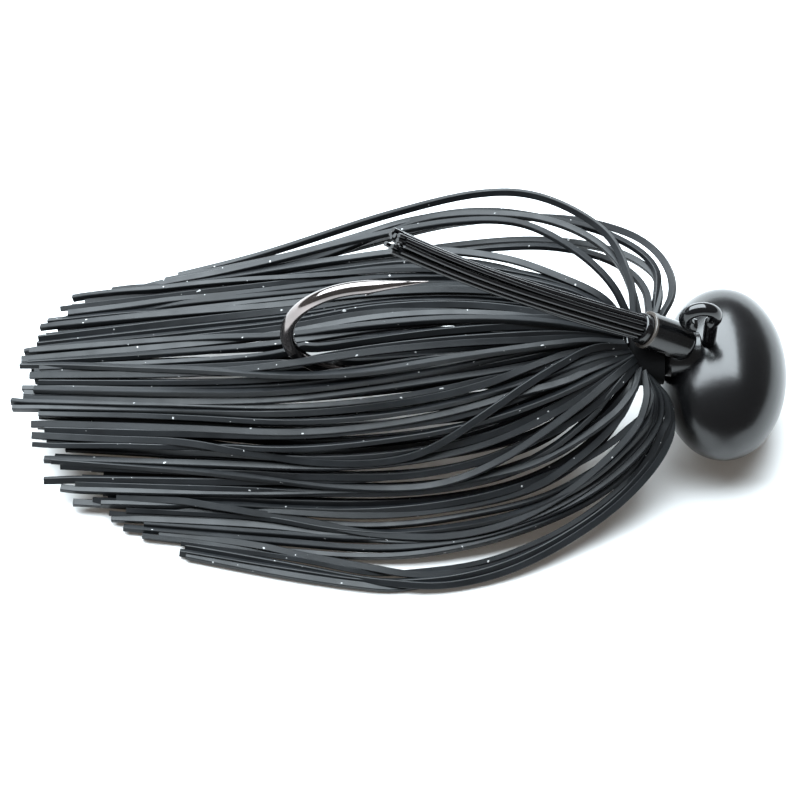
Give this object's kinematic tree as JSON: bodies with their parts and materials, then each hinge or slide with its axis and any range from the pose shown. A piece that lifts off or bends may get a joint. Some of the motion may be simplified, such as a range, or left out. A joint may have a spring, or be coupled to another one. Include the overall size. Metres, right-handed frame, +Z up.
{
  "type": "jig head",
  "caption": "Fishing jig: an egg-shaped painted weight across a curved hook, a stiff fibre weed guard and a long rubber-strand skirt.",
  "frame": {"origin": "middle of the part's footprint, on the surface it lies on", "axes": "+X from the skirt's tips to the weight, +Z up, from the shank to the hook's point"},
  "size_m": [0.074, 0.0405, 0.0325],
  "materials": {
    "head_paint": "satin black paint on a cast weight",
    "hook_finish": "polished black nickel",
    "socket_gloss": "glossy black",
    "fibre_nylon": "glossy black nylon fibre",
    "skirt_rubber": "matt charcoal rubber",
    "binding_finish": "black enamelled wire"
  },
  "bodies": {
    "jig": {"head_weight": "head_paint", "hook": "hook_finish", "guard_socket": "socket_gloss", "guard_plug": "fibre_nylon", "skirt_roots": "skirt_rubber", "binding_wire": "binding_finish", "skirt_lock_01": "skirt_rubber", "skirt_lock_02": "skirt_rubber", "skirt_lock_03": "skirt_rubber", "skirt_lock_04": "skirt_rubber", "skirt_lock_05": "skirt_rubber", "skirt_lock_06": "skirt_rubber", "skirt_lock_07": "skirt_rubber", "skirt_lock_08": "skirt_rubber", "skirt_lock_09": "skirt_rubber", "skirt_lock_10": "skirt_rubber", "skirt_lock_11": "skirt_rubber", "skirt_lock_12": "skirt_rubber", "skirt_lock_13": "skirt_rubber", "skirt_lock_14": "skirt_rubber", "skirt_lock_15": "skirt_rubber", "skirt_lock_16": "skirt_rubber", "skirt_lock_17": "skirt_rubber", "skirt_lock_18": "skirt_rubber", "skirt_lock_19": "skirt_rubber", "skirt_lock_20": "skirt_rubber", "skirt_lock_21": "skirt_rubber", "skirt_lock_22": "skirt_rubber", "skirt_lock_23": "skirt_rubber", "skirt_lock_24": "skirt_rubber", "skirt_lock_25": "skirt_rubber", "skirt_lock_26": "skirt_rubber", "skirt_lock_27": "skirt_rubber", "skirt_lock_28": "skirt_rubber"},
    "guard": {"guard_fibres": "fibre_nylon"}
  },
  "joints": [
    {"name": "guard_flex", "type": "hinge", "parent": "jig", "child": "guard", "pos_m": [0.02254, 0, 0.01515], "axis": [0, 1, 0], "range_deg": [-6, 25], "stiffness_Nm_per_rad": 0.02}
  ]
}
